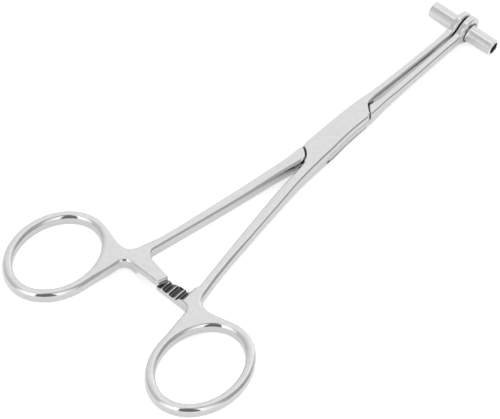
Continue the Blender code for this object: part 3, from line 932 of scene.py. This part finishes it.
def finish_piece(body, node, body_name, turn_over=False):
    """Scales a piece to metres, puts it on the pivot, shades it, ties it to its body and hides its node.
    """
    matrix = Matrix.Scale(MM, 4)
    if turn_over:
        matrix = matrix @ Matrix.Rotation(math.pi, 4, "X")
    body.data.transform(matrix)
    body.location = PIVOT
    for face in body.data.polygons:
        face.use_smooth = True
    body.data.set_sharp_from_angle(angle=math.radians(SHARP_ANGLE))
    weigh = body.modifiers.new("weigh_normals", "WEIGHTED_NORMAL")
    weigh.keep_sharp = True
    weigh.weight = NORMAL_WEIGHT
    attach(body, body_name)
    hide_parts(node)
    return body


def steel(name, colour, roughness, scale, shade=None):
    """Steel with a faint haze and polishing marks in its gloss, slight waves and a varied tone.

    A shade paints shade into the colour: it gives the dark level that the painted shade starts from, and
    the two distances from the middle line between which it lifts to the colour.
    """
    made = bpy.data.materials.new(name)
    made.use_nodes = True
    nodes = made.node_tree.nodes
    links = made.node_tree.links
    shader = nodes["Principled BSDF"]
    shader.inputs["Metallic"].default_value = 1.0
    where = nodes.new("ShaderNodeTexCoord")
    noise = nodes.new("ShaderNodeTexNoise")
    noise.inputs["Scale"].default_value = scale
    noise.inputs["Detail"].default_value = 6.0
    links.new(where.outputs["Object"], noise.inputs["Vector"])
    stretch = nodes.new("ShaderNodeMapping")
    stretch.inputs["Scale"].default_value = (MARK_STRETCH, 1.0, 1.0)
    links.new(where.outputs["Object"], stretch.inputs["Vector"])
    marks = nodes.new("ShaderNodeTexNoise")
    marks.inputs["Scale"].default_value = MARK_SCALE
    marks.inputs["Detail"].default_value = 3.0
    links.new(stretch.outputs[0], marks.inputs["Vector"])
    haze = nodes.new("ShaderNodeMath")
    haze.operation = "MULTIPLY_ADD"
    haze.inputs[1].default_value = MARK_HAZE
    links.new(marks.outputs["Fac"], haze.inputs[0])
    links.new(noise.outputs["Fac"], haze.inputs[2])
    spread = nodes.new("ShaderNodeMapRange")
    spread.inputs["From Min"].default_value = HAZE_RANGE[0]
    spread.inputs["From Max"].default_value = HAZE_RANGE[1]
    spread.inputs["To Min"].default_value = roughness * GLOSS_SPREAD[0]
    spread.inputs["To Max"].default_value = roughness * GLOSS_SPREAD[1]
    links.new(haze.outputs[0], spread.inputs["Value"])
    links.new(spread.outputs["Result"], shader.inputs["Roughness"])
    wave = nodes.new("ShaderNodeTexNoise")
    wave.inputs["Scale"].default_value = WAVE_SCALE
    wave.inputs["Detail"].default_value = 2.0
    links.new(where.outputs["Object"], wave.inputs["Vector"])
    height = nodes.new("ShaderNodeMath")
    height.operation = "MULTIPLY_ADD"
    height.inputs[1].default_value = MARK_DEPTH / WAVE_DEPTH
    links.new(marks.outputs["Fac"], height.inputs[0])
    links.new(wave.outputs["Fac"], height.inputs[2])
    bump = nodes.new("ShaderNodeBump")
    bump.inputs["Distance"].default_value = WAVE_DEPTH * MM
    links.new(height.outputs[0], bump.inputs["Height"])
    links.new(bump.outputs["Normal"], shader.inputs["Normal"])
    tone = nodes.new("ShaderNodeMix")
    tone.data_type = "RGBA"
    links.new(noise.outputs["Fac"], tone.inputs["Factor"])
    tone.inputs[6].default_value = (*(level * (1 - TONE_SPREAD) for level in colour), 1.0)
    tone.inputs[7].default_value = (*(min(1.0, level * (1 + TONE_SPREAD)) for level in colour), 1.0)
    links.new(tone.outputs[2], shader.inputs["Base Color"])
    if shade:
        split = nodes.new("ShaderNodeSeparateXYZ")
        links.new(where.outputs["Object"], split.inputs[0])
        distance = nodes.new("ShaderNodeMath")
        distance.operation = "ABSOLUTE"
        links.new(split.outputs["Y"], distance.inputs[0])
        lift = nodes.new("ShaderNodeMapRange")
        lift.interpolation_type = "SMOOTHSTEP"
        lift.inputs["From Min"].default_value = shade[1] * MM
        lift.inputs["From Max"].default_value = shade[2] * MM
        lift.inputs["To Min"].default_value = shade[0]
        lift.inputs["To Max"].default_value = colour[0]
        links.new(distance.outputs[0], lift.inputs["Value"])
        links.new(lift.outputs["Result"], shader.inputs["Base Color"])
    return made


polished = steel("polished_forging", (0.69, 0.69, 0.694), 0.07, 900.0)
turned_steel = steel("turned_tube", (0.70, 0.70, 0.704), 0.09, 1200.0)
ground = steel("ground_rivet", (0.69, 0.69, 0.694), 0.07, 900.0)
# Painted shade: near-black steel put on the seams, the slot's inside and the notch walls
shaded = steel("painted_shade_seams", (0.05, 0.05, 0.05), 0.35, 2500.0)
sliding = steel("sliding_faces", (0.46, 0.455, 0.45), 0.24, 1500.0)
# Unpolished steel with painted shade: dark in the ratchet's grooves, lifting to the full colour along the
# scoop
unpolished_and_shade = steel("unpolished_grooves_painted_shade", (0.69, 0.69, 0.694), 0.3, 2500.0,
                   (GROOVE_DARK, SCOOP_SHADE_START, SCOOP_SHADE_END))
# Painted shade in the crease where the braze's toe meets the pad
braze_toe_painted_shade = steel("braze_toe_painted_shade", (0.13, 0.125, 0.12), 0.4, 2500.0)
# Painted highlight: the lip's steel is made brighter than the rest of the tube
lip_highlight_steel = steel("machined_lip_painted_highlight", (0.92, 0.92, 0.92), 0.22, 1800.0)
bore_steel = steel("bore", (0.32, 0.31, 0.305), 0.35, 1800.0)

hole_u = RING_LENGTH / 2 - RING_STOCK
hole_v = RING_BREADTH / 2 - RING_STOCK
hole = subdivide(arc((-RING_DISTANCE, RING_OFFSET), hole_u, hole_v, 360, 0, 1.5)[:-1])

male = rounded_plate("male_forging", [subdivide(male_rear()), hole], 1)
waist = rounded_plate("male_middle", [subdivide(male_waist())], 1, slice_height=WAIST_HEIGHT)
combine(male, "UNION", waist)
combine(male, "UNION", rounded_plate("male_jaw", [subdivide(male_front())], 1))
cut(male, pin_hole(), *ratchet_cutters(1), tube_hole())
finish_piece(welded(male), "male_half", "male")

female = rounded_plate("female_forging", [subdivide(female_outline()), hole], -1, NOTCH_EDGE)
cut(female, slot_cutter(), pin_hole(), *ratchet_cutters(0), seam_cutter(), tube_hole())
finish_piece(welded(female), "female_half", "female", True)

finish_piece(pin(), "pivot_pin", "female")
finish_piece(tube("male_receiver"), "male_tube", "male")
finish_piece(tube("female_receiver"), "female_tube", "female", True)


# Stage, light and camera

def stage_floor():
    """A pale floor that glows for the camera and in mirrors: it shows white and keeps its shadow."""
    shape = bmesh.new()
    bmesh.ops.create_grid(shape, x_segments=1, y_segments=1, size=FLOOR_SIZE)
    floor = to_object("floor", shape)
    made = bpy.data.materials.new("white_floor")
    made.use_nodes = True
    nodes = made.node_tree.nodes
    links = made.node_tree.links
    nodes.clear()
    out = nodes.new("ShaderNodeOutputMaterial")
    matte = nodes.new("ShaderNodeBsdfDiffuse")
    matte.inputs["Color"].default_value = (FLOOR_COLOUR, FLOOR_COLOUR, FLOOR_COLOUR, 1)
    glow = nodes.new("ShaderNodeEmission")
    glow.inputs["Color"].default_value = (1, 1, 1, 1)
    path = nodes.new("ShaderNodeLightPath")
    seen = nodes.new("ShaderNodeMath")
    seen.operation = "MULTIPLY"
    seen.inputs[1].default_value = FLOOR_GLOW_SEEN
    links.new(path.outputs["Is Camera Ray"], seen.inputs[0])
    mirrored = nodes.new("ShaderNodeMath")
    mirrored.operation = "MULTIPLY_ADD"
    mirrored.inputs[1].default_value = FLOOR_GLOW_MIRRORED
    links.new(path.outputs["Is Glossy Ray"], mirrored.inputs[0])
    links.new(seen.outputs[0], mirrored.inputs[2])
    links.new(mirrored.outputs[0], glow.inputs["Strength"])
    both = nodes.new("ShaderNodeAddShader")
    links.new(matte.outputs[0], both.inputs[0])
    links.new(glow.outputs[0], both.inputs[1])
    links.new(both.outputs[0], out.inputs["Surface"])
    floor.data.materials.append(made)


def ramp_of(tree, value, levels):
    """A smooth ramp of grey levels over the full turn, from pairs of degrees and level."""
    stops = [(0.5 + angle / 360, level) for angle, level in levels]
    shades = tree.nodes.new("ShaderNodeValToRGB")
    shades.color_ramp.interpolation = "EASE"
    elements = shades.color_ramp.elements
    for element, (place, level) in zip(elements, (stops[0], stops[-1])):
        element.position = place
        element.color = (level, level, level, 1)
    for place, level in stops[1:-1]:
        elements.new(place).color = (level, level, level, 1)
    tree.links.new(value, shades.inputs["Fac"])
    return shades.outputs["Color"]


def blend(tree, share, first, second):
    """A mix of two colours by a share."""
    mix = tree.nodes.new("ShaderNodeMix")
    mix.data_type = "RGBA"
    tree.links.new(share, mix.inputs["Factor"])
    tree.links.new(first, mix.inputs[6])
    tree.links.new(second, mix.inputs[7])
    return mix.outputs[2]


def rise(tree, height, low, high):
    """A share that grows from 0 to 1 between two elevations in degrees."""
    spread = tree.nodes.new("ShaderNodeMapRange")
    spread.interpolation_type = "SMOOTHSTEP"
    spread.inputs["From Min"].default_value = math.sin(math.radians(low))
    spread.inputs["From Max"].default_value = math.sin(math.radians(high))
    tree.links.new(height, spread.inputs["Value"])
    return spread.outputs["Result"]


def set_world():
    """A pale tent: a soft box on each side of the camera, a dark opening between them, grey walls."""
    world = bpy.data.worlds.new("tent")
    bpy.context.scene.world = world
    world.use_nodes = True
    tree = world.node_tree
    nodes = tree.nodes
    links = tree.links
    nodes.clear()
    out = nodes.new("ShaderNodeOutputWorld")
    back = nodes.new("ShaderNodeBackground")
    where = nodes.new("ShaderNodeTexCoord")
    turn = nodes.new("ShaderNodeVectorRotate")
    turn.rotation_type = "Z_AXIS"
    turn.inputs["Angle"].default_value = math.radians(-CAMERA_SIDE)
    links.new(where.outputs["Generated"], turn.inputs["Vector"])
    split = nodes.new("ShaderNodeSeparateXYZ")
    links.new(turn.outputs[0], split.inputs[0])
    angle = nodes.new("ShaderNodeMath")
    angle.operation = "ARCTAN2"
    links.new(split.outputs["Y"], angle.inputs[0])
    links.new(split.outputs["X"], angle.inputs[1])
    place = nodes.new("ShaderNodeMapRange")
    place.inputs["From Min"].default_value = -math.pi
    place.inputs["From Max"].default_value = math.pi
    links.new(angle.outputs[0], place.inputs["Value"])
    walls = ramp_of(tree, place.outputs[0], WALL_LEVELS)
    roof = ramp_of(tree, place.outputs[0], ROOF_LEVELS)
    high = rise(tree, split.outputs["Z"], *ROOF_RISE)
    zenith = nodes.new("ShaderNodeRGB")
    zenith.outputs[0].default_value = (ZENITH_LEVEL, ZENITH_LEVEL, ZENITH_LEVEL, 1)
    top = rise(tree, split.outputs["Z"], *ZENITH_RISE)
    links.new(blend(tree, top, blend(tree, high, walls, roof), zenith.outputs[0]), back.inputs["Color"])
    back.inputs["Strength"].default_value = 1.0
    links.new(back.outputs[0], out.inputs["Surface"])


def set_camera():
    """The photograph's camera."""
    azimuth = math.radians(CAMERA_AZIMUTH)
    elevation = math.radians(CAMERA_ELEVATION)
    roll = math.radians(CAMERA_ROLL)
    back = Vector((math.sin(azimuth) * math.cos(elevation), -math.cos(azimuth) * math.cos(elevation),
                   math.sin(elevation)))
    right = Vector((0, 0, 1)).cross(back).normalized()
    up = back.cross(right)
    rolled_right = right * math.cos(roll) + up * math.sin(roll)
    rolled_up = up * math.cos(roll) - right * math.sin(roll)
    data = bpy.data.cameras.new("camera")
    camera = bpy.data.objects.new("camera", data)
    bpy.context.scene.collection.objects.link(camera)
    data.sensor_width = SENSOR_WIDTH
    data.lens = CAMERA_FOCAL * SENSOR_WIDTH / PHOTO_WIDTH
    data.clip_start = NEAREST
    data.clip_end = FARTHEST
    place = (Vector(CAMERA_TARGET) + back * CAMERA_DISTANCE) * MM + PIVOT
    axes = Matrix((rolled_right, rolled_up, back)).transposed()
    camera.matrix_world = Matrix.Translation(place) @ axes.to_4x4()
    bpy.context.scene.camera = camera


stage_floor()
set_world()
set_camera()
bpy.context.scene.view_settings.view_transform = "Standard"
